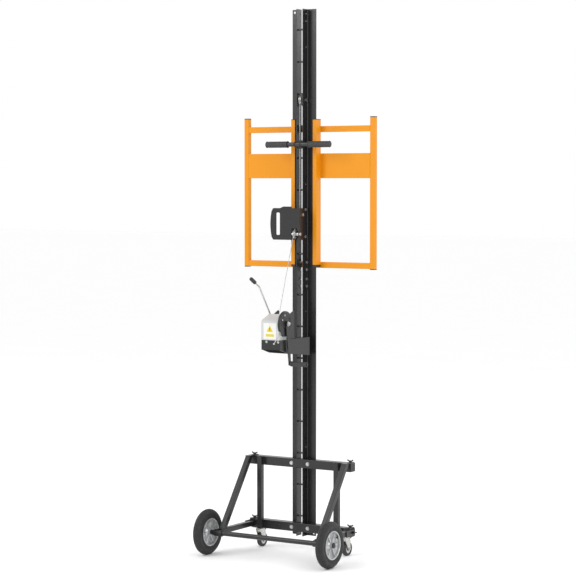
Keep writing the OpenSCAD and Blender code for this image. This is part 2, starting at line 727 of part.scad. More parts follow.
// Silver cover: front, sloping top and two side walls, open behind
module house_outline(g) {
  polygon([[-house_front + g, tray_z], [-house_front + g, 1338 - g * 0.3],
           [-house_front + 8 + g * 0.6, 1346 - g], [-228, 1377 - g], [-214, 1377 - g],
           [-214, tray_z]]);
}
module winch_housing() color([0.80, 0.81, 0.80]) placed() difference() {
  plate_x(house_x0, house_x1) house_outline(0);
  plate_x(house_x0 + 2, house_x1 - 2) house_outline(2);
  span([house_x0 - 1, -228, 1300], [house_x1 + 1, -200, 1400]);
  span([house_x0 + 2, -228, 1200], [house_x1 - 2, -200, 1310]);
  span([-frame_in - 4.5, -297, tray_z - 1], [frame_in + 4.5, -200, tray_z + 4.4]);
  rod_x(shaft, 40, 60, 34);
  rod_x(pawl_at, 40, 60, 16);
}

// Fixed cover over the ratchet and friction brake
cover_x0 = 57;
module brake_cover() color(black) placed() difference() {
  union() {
    turned_x(shaft) union() {
      translate([0, cover_x0 + 9]) square([cover_r - 8, 3]);
      difference() {
        translate([cover_r - 12, cover_x0]) square([12, 12]);
        translate([cover_r - 14, cover_x0 - 1]) square([11, 10]);
        difference() {
          translate([cover_r - 8, cover_x0 + 4]) square([9, 9]);
          translate([cover_r - 8, cover_x0 + 4]) circle(8);
        }
      }
    }
    for (a = [35, 155, 275]) translate([0, shaft[0], shaft[1]]) rotate([a, 0, 0])
      rod_x([52, 0], cover_x0 + 8, cover_x0 + 14, 9);
  }
  rod_x(shaft, 40, 90, 30);
  translate([cover_x0 - 1, shaft[0] - 90, shaft[1] - 90]) cube([10, 62, 50]);
}

// Involute angle of a pressure angle p, in degrees
function involute(p) = tan(p) * 180 / PI - p;
// Half angle of a tooth at radius q, for n teeth of module m, with backlash b
function tooth_half(q, n, m, b) =
  let (r = n * m / 2, rb = r * cos(20), qq = max(q, rb))
  90 / n - b / r * 180 / PI + involute(20) - involute(acos(rb / qq));
function gear_ring(n, m, b, steps) = let (r = n * m / 2, lo = r - 1.25 * m, hi = r + 0.85 * m) [
  for (k = [0 : n - 1], e = [-1, 1], i = [0 : steps])
    let (j = e < 0 ? i : steps - i, q = lo + (hi - lo) * j / steps,
         a = 360 * k / n + e * tooth_half(q, n, m, b))
    [q * cos(a), q * sin(a)]];
module gear(n, m, b) polygon(gear_ring(n, m, b, 5));

gear_x0 = 34;
// Drum with two flanges and the gear welded on its right flange
module drum() color([0.55, 0.55, 0.56]) placed() union() {
  turned_x(drum_at) union() {
    translate([0, -frame_in - frame_t - 3]) square([8, 2 * (frame_in + frame_t + 3)]);
    translate([0, -42]) square([drum_pitch_r - cable_d / 2 - 0.2, 76]);
    translate([0, -43]) square([43, 3]);
    translate([0, 28]) square([33, 7]);
    translate([0, 24]) square([43, 3]);
  }
  translate([gear_x0, drum_at[0], drum_at[1]]) rotate([90, 0, 90])
    rotate([0, 0, gear_dir + 180 + 180 / gear_n]) linear_extrude(9) gear(gear_n, gear_m, 0.12);
}

// Crank shaft with its pinion, ratchet wheel and friction discs
module ratchet_ring(n, r0, r1) {
  polygon([for (k = [0 : n - 1], e = [0, 1])
    let (a = 360 * k / n + (e ? 2 : 0), q = e ? r1 : r0) [q * cos(a), q * sin(a)]]);
}
module crank_shaft() color([0.50, 0.50, 0.52]) placed() union() {
  turned_x(shaft) union() {
    translate([0, -frame_in - frame_t - 3]) square([7, frame_in + frame_t + 3 + 84]);
    translate([0, 53]) square([10, 5]);
    translate([0, 62.2]) square([28, 3]);
  }
  translate([gear_x0 + 0.5, shaft[0], shaft[1]]) rotate([90, 0, 90])
    rotate([0, 0, gear_dir]) linear_extrude(8) gear(pinion_n, gear_m, 0.12);
  translate([58, shaft[0], shaft[1]]) rotate([90, 0, 90]) linear_extrude(4.2)
    ratchet_ring(16, 28, 34);
}

// Crank arm: boss, tapering flat bar, grip boss
arm_dir = atan2(-225, 28);                // direction of the arm in the Y-Z plane
grip_at = [shaft[0] + crank_r * cos(arm_dir), shaft[1] + crank_r * sin(arm_dir)];
arm_x0 = 72.5;
module crank_arm() color(black) placed() difference() {
  union() {
    translate([arm_x0, shaft[0], shaft[1]]) rotate([90, 0, 90]) rotate([0, 0, arm_dir]) {
      linear_extrude(6) union() {
        circle(17);
        polygon([[0, -15], [crank_r, -9.5], [crank_r, 9.5], [0, 15]]);
        translate([crank_r, 0]) circle(11);
      }
      linear_extrude(9) circle(13);
    }
    rod_x(grip_at, arm_x0 + 5, arm_x0 + 12, 10);
    rod_x(grip_at, arm_x0 + 11, arm_x0 + 114, 9);
    rod_x(grip_at, arm_x0 + 114.5, arm_x0 + 119, 15);
    rod_x(grip_at, arm_x0 + 113, arm_x0 + 116, 9);
  }
  rod_x(shaft, arm_x0 - 1, arm_x0 + 15, 14.05);
}

// Grip that turns on the crank's pin
module crank_grip() color([0.13, 0.13, 0.14]) placed() turned_x(grip_at) difference() {
  union() {
    translate([0, arm_x0 + 12.5]) square([13, 101]);
    translate([0, arm_x0 + 12.5]) square([15, 7]);
    translate([0, arm_x0 + 106.5]) square([14.5, 7]);
  }
  translate([0, arm_x0]) square([4.56, 130]);
}

// Bent rod of the clutch lever on its hub
lever_bend = [-320, 1531];
lever_tip = [-384, 1568];
module rod_between(x, a, b, d) {
  len = norm(b - a);
  translate([x, a[0], a[1]]) rotate([-atan2(b[0] - a[0], b[1] - a[1]), 0, 0])
    cylinder(d = d, h = len);
}
module clutch_lever() color(zinc) placed() union() {
  difference() {
    union() {
      rod_x(lever_at, lever_x - 5, lever_x + 5, 24);
      rod_between(lever_x, lever_at, lever_bend, 9);
    }
    rod_x(lever_at, lever_x - 6, lever_x + 20, 8);
  }
  translate([lever_x, lever_bend[0], lever_bend[1]]) sphere(d = 11);
  rod_between(lever_x, lever_bend, lever_tip, 9);
  rod_x(lever_at, lever_x - 8, -frame_in + 3, 8);
  rod_x(lever_at, lever_x - 11, lever_x - 5, 14);
}

// Moulded knob on the clutch lever
module clutch_knob() color(black) placed() {
  v = lever_tip - lever_bend;
  translate([lever_x, lever_tip[0], lever_tip[1]]) rotate([-atan2(v[0], v[1]), 0, 0])
    rotate_extrude() difference() {
      union() {
        translate([0, -24]) square([9, 6]);
        translate([0, -20]) square([11, 40]);
        intersection() {
          translate([0, 20]) circle(11);
          translate([0, 19]) square([12, 14]);
        }
      }
      translate([0, -26]) square([4.65, 26.2]);
    }
}

// Pawl with its thumb lever
module pawl() color(zinc) placed() {
  nose = shaft - pawl_at;
  reach = norm(nose) - 34.6;
  dir = atan2(nose[1], nose[0]);
  tip = [-372, 1222];
  union() {
    translate([58.2, pawl_at[0], pawl_at[1]]) rotate([90, 0, 90]) linear_extrude(3.8)
      rotate([0, 0, dir]) union() {
        circle(9);
        polygon([[0, -8], [reach, -1], [reach, 4], [0, 8]]);
      }
    rod_x(pawl_at, 49, 60, 8);
    difference() {
      rod_between(63, pawl_at, tip, 5);
      rod_x(pawl_at, 40, 60.2, 8);
    }
    rod_x(pawl_at, 61, 65.4, 13);
    translate([63, tip[0], tip[1]]) sphere(d = 10);
  }
}

// ------------------------------------------------------------------ cable

// Lean of the straight run from sheave a to sheave b; e = 1 leaves a and
// meets b on the front side, e = -1 crosses to the back side of b
function run_lean(a, b, e) =
  let (v = [b[0] - a[0], b[1] - a[1]])
  atan2(v[0], v[1]) + asin((a[2] - e * b[2]) / norm(v));
// Point on sheave q on its front (e = 1) or back (e = -1) side at lean t
function touch(q, t, e) = [q[0] - e * q[2] * cos(t), q[1] + e * q[2] * sin(t)];

lean1 = run_lean(drum_sheave, low_sheave, 1);
lean2 = run_lean(low_sheave, high_sheave, -1);
route = concat(
  [touch(drum_sheave, lean1, 1)],
  [for (i = [0 : 4]) touch(low_sheave, lean1 + (lean2 - lean1) * i / 4, 1)],
  [for (i = [0 : 4]) touch(high_sheave, lean2 * (1 - i / 4), -1)],
  [for (i = [0 : 16]) touch(head_sheave_at, 180 * i / 16, 1)]);
route_n = len(route);
function heading(i) = let (a = route[max(i - 1, 0)], b = route[min(i + 1, route_n - 1)])
  atan2(b[0] - a[0], b[1] - a[1]);
sides = 8;
function ring_point(i, k) = let (h = heading(i), c = cos(360 * k / sides), w = sin(360 * k / sides))
  [c * 1.9, route[i][0] + w * 1.9 * cos(h), route[i][1] - w * 1.9 * sin(h)];

// Standing part of the cable, from the drum over the sheaves
module cable_run() color([0.62, 0.63, 0.64]) placed() polyhedron(
  points = [for (i = [0 : route_n - 1], k = [0 : sides - 1]) ring_point(i, k)],
  faces = concat(
    [[for (k = [0 : sides - 1]) k]],
    [[for (k = [0 : sides - 1]) route_n * sides - 1 - k]],
    [for (i = [0 : route_n - 2], k = [0 : sides - 1]) let (n = (k + 1) % sides)
      [i * sides + k, (i + 1) * sides + k, (i + 1) * sides + n, i * sides + n]]));

rail_upper();
rail_lower();
base_uprights();
brace_left();
brace_right();
arm_left();
arm_right();
wing_screws();
axle();
caster_plates();
tyre_left();
rim_left();
tyre_right();
rim_right();
caster_fork_left();
caster_pin_left();
caster_wheel_left();
caster_brake_left();
caster_fork_right();
caster_pin_right();
caster_wheel_right();
caster_brake_right();
mast_lower_left();
mast_lower_right();
mast_upper_left();
mast_upper_right();
rungs();
splice_plates();
frame_bolts();
tbar();
tbar_grips();
guide_bracket();
sheave_axles();
guide_sheave_low();
guide_sheave_high();
head_sheave();
channel_left();
channel_right();
post_left();
post_right();
cross_rail_top();
cross_rail_bottom();
panel_left();
panel_right();
carriage_caps();
slide_shoes();
cable_anchor();
cable_drop();
winch_bracket();
winch_frame();
winch_housing();
brake_cover();
drum();
crank_shaft();
crank_arm();
crank_grip();
clutch_lever();
clutch_knob();
pawl();
cable_run();
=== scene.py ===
import json
import math
import random

import bmesh
import bpy
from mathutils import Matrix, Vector


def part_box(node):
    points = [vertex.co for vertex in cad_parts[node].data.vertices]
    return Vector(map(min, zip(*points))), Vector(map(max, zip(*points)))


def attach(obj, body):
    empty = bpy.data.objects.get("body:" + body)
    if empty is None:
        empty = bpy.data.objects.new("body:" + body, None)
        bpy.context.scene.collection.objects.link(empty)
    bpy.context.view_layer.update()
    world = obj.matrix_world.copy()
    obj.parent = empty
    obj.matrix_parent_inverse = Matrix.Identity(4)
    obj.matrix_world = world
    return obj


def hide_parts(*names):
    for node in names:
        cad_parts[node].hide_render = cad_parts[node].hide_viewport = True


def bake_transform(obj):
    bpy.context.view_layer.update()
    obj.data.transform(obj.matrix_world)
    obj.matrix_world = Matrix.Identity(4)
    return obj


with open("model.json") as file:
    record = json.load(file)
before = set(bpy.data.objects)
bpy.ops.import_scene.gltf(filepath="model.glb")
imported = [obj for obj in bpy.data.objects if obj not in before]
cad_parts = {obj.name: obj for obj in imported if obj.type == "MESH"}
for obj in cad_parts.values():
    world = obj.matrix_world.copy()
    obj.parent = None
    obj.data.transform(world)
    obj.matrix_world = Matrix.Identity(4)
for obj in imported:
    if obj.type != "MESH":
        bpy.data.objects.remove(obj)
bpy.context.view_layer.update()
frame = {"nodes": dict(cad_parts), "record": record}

NODES = frame["nodes"]
rng = random.Random(7)
MM = 0.001
TAU = 2 * math.pi
SIDES = (-1, 1)                 # left and right

# Places in mm round the mast: +X to the crank's side, +Y to the load's side, +Z up.
# A pair of numbers is the [y, z] of an axis that runs along X.
FRAME_Y = 173.75                # from the footprint's centre back to the mast's front plane
ROAD_WHEEL_X = 403              # middle plane of a road wheel
AXLE = (-340.0, 130.0)
CASTER_X = 285
CASTER_HUB = (49.0, 40.0)
RAIL_END_X = 336.1
RAIL_Y = 25
RAIL_Z = (140, 509)             # centre lines of the two cross rails
RAIL_SIDE = 50
UPRIGHT_X = 256
ARM_X = 321
MAST_BOLT_X = 54
WEB_FACE_X = 26                 # outer face of a mast angle's web
SPLICE_BOLT_Z = (1523, 1564, 1618, 1659)
HANDLE = (-16.5, 2327)          # the tilting handle
POST_WELD_X = 405               # inner face of an outer post
CROSS_RAIL_Z = ((1626, 1660), (2398, 2432))
SHAFT = (-254.0, 1326.0)        # the winch's crank shaft
COVER_X = 69.0                  # outer face of the brake cover
LABEL_Y = -311.0                # front face of the winch's housing


def P(x, y, z):
    """A point given in mm around the mast, in the shared frame."""
    return Vector((x, y + FRAME_Y, z)) * MM


def polar(centre, radius, angle):
    """The [y, z] point at that radius and angle from a centre."""
    return (centre[0] + radius * math.cos(angle), centre[1] + radius * math.sin(angle))


def side_name(side):
    return "right" if side > 0 else "left"


# ------------------------------------------------------------------ materials

class Graph:
    """A material's node tree, with short calls for the nodes used here."""

    def __init__(self, name, rough=0.5, metal=0.0, **sockets):
        self.mat = bpy.data.materials.new(name)
        self.mat.use_nodes = True
        self.tree = self.mat.node_tree
        self.bsdf = next(n for n in self.tree.nodes if n.type == "BSDF_PRINCIPLED")
        self.bsdf.inputs["Metallic"].default_value = metal
        self.bsdf.inputs["Roughness"].default_value = rough
        for key, value in sockets.items():
            self.bsdf.inputs[key.replace("_", " ")].default_value = value
        self.coords = self.tree.nodes.new("ShaderNodeTexCoord").outputs["Object"]

    def node(self, kind, **inputs):
        n = self.tree.nodes.new(kind)
        for key, value in inputs.items():
            n.inputs[key.replace("_", " ")].default_value = value
        return n

    def link(self, a, b):
        self.tree.links.new(a, b)

    def stretched(self, scale):
        m = self.node("ShaderNodeMapping", Scale=scale)
        self.link(self.coords, m.inputs["Vector"])
        return m.outputs["Vector"]

    def noise(self, scale, detail=3.0, vector=None):
        n = self.node("ShaderNodeTexNoise", Scale=scale, Detail=detail, Roughness=0.55)
        self.link(vector or self.coords, n.inputs["Vector"])
        return n.outputs["Fac"]

    def wave(self, scale, vector):
        n = self.node("ShaderNodeTexWave", Scale=scale, Distortion=0.0)
        self.link(vector, n.inputs["Vector"])
        return n.outputs["Fac"]

    def cells(self, scale):
        n = self.node("ShaderNodeTexVoronoi", Scale=scale)
        self.link(self.coords, n.inputs["Vector"])
        return n.outputs["Distance"]

    def color(self, fac, stops):
        """Base colour from (position, colour) stops along fac."""
        n = self.tree.nodes.new("ShaderNodeValToRGB")
        els = n.color_ramp.elements
        while len(els) < len(stops):
            els.new(0.5)
        for el, (pos, col) in zip(els, stops):
            el.position = pos
            el.color = (*col, 1.0)
        self.link(fac, n.inputs["Fac"])
        self.link(n.outputs["Color"], self.bsdf.inputs["Base Color"])

    def roughness(self, fac, low, high):
        n = self.node("ShaderNodeMapRange", From_Min=0.3, From_Max=0.7, To_Min=low, To_Max=high)
        self.link(fac, n.inputs["Value"])
        self.link(n.outputs["Result"], self.bsdf.inputs["Roughness"])

    def bump(self, fac, strength, distance, below=None):
        n = self.node("ShaderNodeBump", Strength=strength, Distance=distance)
        self.link(fac, n.inputs["Height"])
        if below:
            self.link(below, n.inputs["Normal"])
        self.link(n.outputs["Normal"], self.bsdf.inputs["Normal"])
        return n.outputs["Normal"]


def shade(col, k):
    return tuple(min(1.0, c * k) for c in col)


def coated(name, col, low, high, spread=0.10, peel=0.18, sheen=0.42, coat=0.12):
    """Powder coat: slow tone changes over two layers of orange peel, one fine and one finer."""
    g = Graph(name, Coat_Weight=coat, Coat_Roughness=0.15, Specular_IOR_Level=sheen)
    g.color(g.noise(2.6, 4.0), [(0.25, shade(col, 1 - spread)), (0.55, col),
                                (0.8, shade(col, 1 + spread))])
    g.roughness(g.noise(38, 4.0), low, high)
    under = g.bump(g.noise(210, 2.0), peel, 0.0006)
    g.bump(g.noise(1400, 1.0), peel * 0.6, 0.0002, under)
    return g.mat


def metal(name, dark, light, low, high, grain=(1, 1, 1)):
    """Plated or drawn metal; grain stretches its streaks."""
    g = Graph(name, metal=0.92)
    g.color(g.noise(55, 5.0), [(0.3, dark), (0.7, light)])
    streak = g.noise(260, 5.0, g.stretched(grain))
    g.roughness(streak, low, high)
    g.bump(streak, 0.12, 0.0003)
    return g.mat


def plastic(name, col, low, high, cell=900, strength=0.12, spread=0.12):
    """Moulded plastic or rubber with a spark-eroded grain."""
    g = Graph(name)
    g.color(g.noise(24, 4.0), [(0.3, shade(col, 1 - spread)), (0.7, shade(col, 1 + spread))])
    g.roughness(g.noise(90, 3.0), low, high)
    g.bump(g.cells(cell), strength, 0.0004)
    return g.mat


def housing_plate():
    """Grey plate with a fine upright brushing."""
    g = Graph("housing_plate", metal=0.35)
    g.color(g.noise(6, 4.0), [(0.3, (0.52, 0.53, 0.53)), (0.7, (0.62, 0.63, 0.625))])
    streak = g.noise(420, 4.0, g.stretched((1, 1, 0.08)))
    g.roughness(streak, 0.30, 0.44)
    g.bump(streak, 0.08, 0.0002)
    return g.mat


def stranded_cable():
    """Steel wire rope, whose strands cross it at a slant; its colour is darker in the grooves
    between strands, which is painted shade.
    """
    g = Graph("stranded_cable", metal=0.9)
    strand_lay_and_shade = g.wave(190, g.stretched((2.4, 2.4, 1.0)))
    # Colour follows the strands' lay: painted shade darkens the grooves between strands, where the
    # bump is low.
    g.color(strand_lay_and_shade, [(0.1, (0.20, 0.20, 0.21)), (0.6, (0.50, 0.50, 0.51))])
    g.roughness(g.noise(300), 0.3, 0.5)
    g.bump(strand_lay_and_shade, 0.6, 0.0005)
    return g.mat


def printed(name, col):
    """Printed film of the winch's label."""
    g = Graph(name)
    g.color(g.noise(40, 4.0), [(0.3, shade(col, 0.94)), (0.7, shade(col, 1.03))])
    g.roughness(g.noise(160), 0.28, 0.4)
    g.bump(g.noise(600, 2.0), 0.04, 0.0002)
    return g.mat


BLACK = (0.014, 0.014, 0.015)
ORANGE = (0.72, 0.268, 0.004)

mats = {
    "frame_black": coated("black_coat", BLACK, 0.26, 0.36),
    "carriage_orange": coated("orange_coat", ORANGE, 0.30, 0.42, 0.05, 0.12, 0.28, 0.04),
    "zinc": metal("zinc_plate", (0.44, 0.44, 0.42), (0.62, 0.62, 0.60), 0.24, 0.42),
    "steel": metal("turned_steel", (0.16, 0.16, 0.165), (0.30, 0.30, 0.31), 0.28, 0.48,
                   (1, 12, 12)),
    "rim": metal("rim_paint", (0.50, 0.505, 0.51), (0.66, 0.665, 0.67), 0.36, 0.54),
    "caster_rubber": plastic("caster_rubber", (0.035, 0.035, 0.036), 0.55, 0.75),
    "tyre": plastic("tyre_rubber", (0.014, 0.014, 0.015), 0.50, 0.74, 700, 0.25),
    "grip": plastic("grip_rubber", (0.030, 0.030, 0.032), 0.48, 0.66, 520, 0.3),
    "knob": plastic("knob_plastic", (0.020, 0.020, 0.021), 0.20, 0.34, 1500, 0.05),
    "nylon": plastic("nylon", (0.70, 0.68, 0.62), 0.36, 0.5, 800, 0.08, 0.05),
    "cap": plastic("cap_plastic", (0.022, 0.022, 0.023), 0.42, 0.58, 1100, 0.1),
    "housing": housing_plate(),
    "cable": stranded_cable(),
    "label": printed("label_white", (0.74, 0.74, 0.71)),
    "label_yellow": printed("label_yellow", (0.66, 0.53, 0.02)),
    "label_dark": printed("label_dark", (0.05, 0.05, 0.05)),
}

for part in frame["record"]["subparts"]:
    data = NODES[part["node"]].data
    if not data.materials:
        data.materials.append(mats[part["material_slot"]])
    for i in range(len(data.materials)):
        data.materials[i] = mats[part["material_slot"]]


# ------------------------------------------------------------- mesh building

def piece(name, bm, material, body, smooth=35):
    """Turns a bmesh in metres into an object that rides on a body, or on none."""
    bmesh.ops.remove_doubles(bm, verts=bm.verts, dist=1e-6)
    bmesh.ops.recalc_face_normals(bm, faces=bm.faces)
    mesh = bpy.data.meshes.new(name)
    bm.to_mesh(mesh)
    bm.free()
    for f in mesh.polygons:
        f.use_smooth = True
    mesh.set_sharp_from_angle(angle=math.radians(smooth))
    obj = bpy.data.objects.new(name, mesh)
    bpy.context.scene.collection.objects.link(obj)
    mesh.materials.append(mats[material])
    if body:
        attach(obj, body)
    return obj


def rings(bm, loops, cap=False, wrap=False):
    """Skins a list of closed vertex loops; wrap joins the last loop to the first."""
    made = [[bm.verts.new(p) for p in loop] for loop in loops]
    for i in range(len(made) if wrap else len(made) - 1):
        a, b = made[i], made[(i + 1) % len(made)]
        n = len(a)
        for k in range(n):
            j = (k + 1) % n
            bm.faces.new((a[k], a[j], b[j], b[k]))
    if cap:
        bm.faces.new(made[0])
        bm.faces.new(list(reversed(made[-1])))


def lathe_x(bm, at, profile, steps=64, cap=False):
    """Turns [radius, x] points about an X axis at [y, z]; a closed profile repeats its first."""
    rings(bm, [[P(x, *polar(at, r, TAU * i / steps)) for i in range(steps)] for r, x in profile],
          cap=cap)


def lathe_y(bm, x, z, profile, steps=32, cap=False):
    """Turns [radius, y] points about a Y axis at x and z."""
    rings(bm, [[P(x + r * math.cos(TAU * i / steps), y, z + r * math.sin(TAU * i / steps))
                for i in range(steps)] for r, y in profile], cap=cap)


def tube(bm, points, radius, sides=8, ripple=0.0):
    """Round tube along points in mm; ripple varies its radius like a weld bead."""
    pts = [P(*p) for p in points]
    loops = []
    ref = None
    for i, p in enumerate(pts):
        d = (pts[min(i + 1, len(pts) - 1)] - pts[max(i - 1, 0)]).normalized()
        if ref is None:
            ref = d.orthogonal().normalized()
        ref = (ref - d * ref.dot(d)).normalized()
        other = d.cross(ref)
        swell = rng.random() - 0.5 + (0.5 if i % 2 else -0.5)
        r = radius * MM * (1 + ripple * swell)
        turns = [TAU * k / sides for k in range(sides)]
        loops.append([p + (ref * math.cos(t) + other * math.sin(t)) * r for t in turns])
    rings(bm, loops, cap=True)


def weld(bm, points, radius):
    """Weld bead along points in mm."""
    tube(bm, points, radius, 7, 0.22)


def bead(bm, a, b, radius, step=2.2):
    """Straight weld bead from a to b, with about one ripple to a step."""
    a, b = Vector(a), Vector(b)
    n = max(2, int((b - a).length / step))
    weld(bm, [tuple(a + (b - a) * i / n) for i in range(n + 1)], radius)


def hexagon(bm, at, x0, x1, flats, chamfer=0.8):
    """Hexagon nut or head along X with chamfered corners."""
    r = flats / 2 / math.cos(math.pi / 6)
    prof = [(r - chamfer * 1.4, x0), (r, x0 + chamfer), (r, x1 - chamfer), (r - chamfer * 1.4, x1)]
    lathe_x(bm, at, prof, steps=6, cap=True)


def washer_y(bm, x, y, z, r_in, r_out, t=1.4):
    """Flat washer along Y, seated at y and standing out towards -Y."""
    lathe_y(bm, x, z, [(r_in, y), (r_out - 0.4, y), (r_out, y - 0.4), (r_out, y + (-t + 0.3)),
                       (r_out - 0.4, y - t), (r_in, y - t), (r_in, y)])


def washer_x(bm, at, x, s, r_in, r_out, t=1.4):
    """Flat washer along X, seated at x and standing out to side s."""
    out = x + s * t
    lathe_x(bm, at, [(r_in, x), (r_out, x), (r_out, out), (r_in, out), (r_in, x)], 32)


# --------------------------------------------------------- wheels and casters

TYRE_R, TYRE_HALF, SEAT_R = 130.0, 24.0, 79.0
TREAD_STEPS, SIPES = 288, 48
# Half of the side wall from its ring down to the bead, as [x, radius]
SIDE_WALL = ((23.4, 92.0), (21.6, 90.5), (23.6, 88.6), (23.8, SEAT_R + 2), (22.5, SEAT_R))


def tread_depth(deg, turn):
    """Depth of a groove or a slanting sipe at deg from the crown, at turn (0 to 1) round."""
    if abs(abs(deg) - 17) < 3.2:
        return 2.2
    if 22 < abs(deg) < 58 and (turn * SIPES + abs(deg) / 90.0) % 1.0 < 0.3:
        return 2.0
    return 0.0


def tyre(side):
    """Grooved tyre: three ribs round the crown, slanting sipes, and ringed side walls."""
    bm = bmesh.new()
    cx = side * ROAD_WHEEL_X
    arc = [(-106 + i * 212 / 44) for i in range(45)]
    walls = list(SIDE_WALL) + [(-x, r) for x, r in reversed(SIDE_WALL)]
    loops = []
    for i in range(TREAD_STEPS):
        a = TAU * i / TREAD_STEPS
        loop = []
        for deg in arc:
            t = math.radians(deg)
            depth = tread_depth(deg, i / TREAD_STEPS)
            x = TYRE_HALF * math.sin(t) - depth * math.sin(t)
            r = TYRE_R - TYRE_HALF + TYRE_HALF * math.cos(t) - depth * math.cos(t)
            loop.append(P(cx + x, *polar(AXLE, r, a)))
        loop += [P(cx + x, *polar(AXLE, r, a)) for x, r in walls]
        loops.append(loop)
    rings(bm, loops, wrap=True)
    obj = piece("tread_tyre_" + side_name(side), bm, "tyre", "road_wheel_" + side_name(side), 40)
    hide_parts("tyre_" + side_name(side))


def rim_lips(side):
    """Bead lips, hub collars and a step round the web on both faces of a rim."""
    bm = bmesh.new()
    cx = side * ROAD_WHEEL_X
    lip = [(78.6, 21.2), (78.8, 23.4), (75.2, 24.0), (73.2, 22.2), (73.4, 20.6), (78.6, 21.2)]
    collar = [(19.2, 12), (24, 6), (30, 3.4), (30, 2.5), (18.6, 2.5), (19.2, 12)]
    step = [(66, 2.8), (67, 5.2), (72.6, 7.4), (73.2, 2.8), (66, 2.8)]
    for e in SIDES:
        for profile, steps in ((lip, 96), (collar, 48), (step, 96)):
            lathe_x(bm, AXLE, [(r, cx + e * x) for r, x in profile], steps)
    piece("rim_lips_" + side_name(side), bm, "rim", "road_wheel_" + side_name(side))


def valve(side):
    """Tyre valve that leans out of the rim's web."""
    bm = bmesh.new()
    cx = side * ROAD_WHEEL_X
    y, z = polar(AXLE, 70, 0.52)
    tube(bm, [(cx + side * 3, y, z), (cx + side * 10, y - 2, z - 1),
              (cx + side * 19, y - 5, z - 3)], 3.4, 12)
    piece("valve_" + side_name(side), bm, "cap", "road_wheel_" + side_name(side))


def axle_cap(side):
    """Domed hub cover that closes the journal's outer end."""
    bm = bmesh.new()
    dome = [(0.2, 434.6), (6, 434.3), (11, 433.2), (15.6, 430.6), (16.4, 427.4), (15.2, 427.4),
            (0.2, 427.4)]
    lathe_x(bm, AXLE, [(r, side * x) for r, x in dome], 40)
    piece("axle_cap_" + side_name(side), bm, "cap", "chassis")


def caster_rings(side):
    """Raised ring on both faces of a caster's wheel."""
    bm = bmesh.new()
    for e in SIDES:
        x = side * CASTER_X + e * 9.0
        lathe_x(bm, CASTER_HUB, [(12.2, x), (13.6, x + e * 1.6), (25.4, x + e * 1.6), (26.6, x),
                                 (12.2, x)], 40)
    piece("caster_web_ring_" + side_name(side), bm, "rim", "caster_roller_" + side_name(side))


for s in SIDES:
    tyre(s)
    rim_lips(s)
    valve(s)
    axle_cap(s)
    caster_rings(s)


# -------------------------------------------------- end plugs of the top rail

def square_plug(bm, x, s, yc, zc, side):
    """Plug with a bevelled face that closes a square tube along X."""
    loops = []
    for inset, out in ((2.8, -6), (2.8, 0), (0.4, 0), (0.4, 1.4), (2.0, 3.0)):
        h = side / 2 - inset
        loop = []
        for k in range(4):
            for a in (-18, 0, 18):
                t = math.radians(45 + 90 * k + a * 0.6)
                c = Vector((math.cos(t), math.sin(t)))
                m = max(abs(c.x), abs(c.y))
                c = c / m * h
                loop.append(P(x + s * out, yc + c.x, zc + c.y))
        loops.append(loop)
    rings(bm, loops, cap=True)


bm = bmesh.new()
for s in SIDES:
    square_plug(bm, s * RAIL_END_X, s, RAIL_Y, RAIL_Z[1], RAIL_SIDE)
piece("rail_plugs", bm, "cap", "chassis", 25)


# ----------------------------------------------------------------- weld beads

bm = bmesh.new()
for s in SIDES:
    # Uprights on both rails
    for e in (-15.4, 15.4):
        for z in RAIL_Z:
            bead(bm, (s * UPRIGHT_X + e, -0.6, z - 24), (s * UPRIGHT_X + e, -0.6, z + 23), 2.0)
    # Brace feet on the arms
    for x in (ARM_X - 15, ARM_X + 15):
        bead(bm, (s * x, -251, 154.6), (s * x, -287, 154.6), 2.2)
    # Lugs on top of the braces
    for y, z in ((-50.5, 533.6), (-13, 533.4)):
        bead(bm, (s * 307, y, z), (s * 335, y, z), 2.2)
    # Arms along their end plates, and at the axle's sleeves
    bead(bm, (s * 336.4, -46, 124), (s * 336.4, -2, 124), 2.0)
    for e in SIDES:
        bead(bm, (s * ARM_X + e * 15, -322, 126), (s * ARM_X + e * 15, -322, 152), 2.2)
piece("base_welds", bm, "frame_black", "chassis", 60)

bm = bmesh.new()
for s in SIDES:
    x = s * POST_WELD_X
    for z0, z1 in CROSS_RAIL_Z:
        # Cross rail against the outer post, on four sides, and against the slide channel
        for y in (92.9, 122.1):
            bead(bm, (x, y, z0 + 2), (x, y, z1 - 2), 1.8)
        for z in (z0 + 0.4, z1 - 0.4):
            bead(bm, (x, 95, z), (x, 120, z), 1.8)
        inner = z1 if z0 < 2000 else z0
        bead(bm, (s * 61, 92.6, inner), (s * 83, 92.6, inner), 1.8)
    # Stitches along both edges of the panel
    for k in range(4):
        z = 2146 + k * 38
        bead(bm, (x, 95.6, z), (x, 95.6, z + 14), 1.6)
        bead(bm, (s * 84.6, 92.4, z), (s * 84.6, 92.4, z + 14), 1.5)
piece("carriage_welds", bm, "carriage_orange", "carriage", 60)

# Handle bar on both sides of its two lugs
bm = bmesh.new()
for s in SIDES:
    for e in SIDES:
        weld(bm, [(s * 18 + e * 3.2, *polar(HANDLE, 13.2, math.radians(50 + 10 * i)))
                  for i in range(27)], 1.6)
piece("handle_welds", bm, "frame_black", "chassis", 60)


# --------------------------------------------------- washers, nuts and screws

bm = bmesh.new()
for s in SIDES:
    for z in RAIL_Z:
        washer_y(bm, s * MAST_BOLT_X, -0.05, z, 7, 11.5)
        washer_y(bm, s * MAST_BOLT_X, 55.6, z, 7, 11.5)
    for z in SPLICE_BOLT_Z:
        washer_x(bm, (36, z), s * (WEB_FACE_X + 0.05), s, 5, 8.6, 1.2)
    # Bolts of the guide bracket, the handle and the winch bracket
    for at in ((22, 1804), (22, 1959), (22, 2327), (25, 1165), (25, 1203)):
        washer_x(bm, at, s * (WEB_FACE_X + 0.25), s, 5, 8.6, 1.2)
piece("washers", bm, "zinc", "chassis", 30)

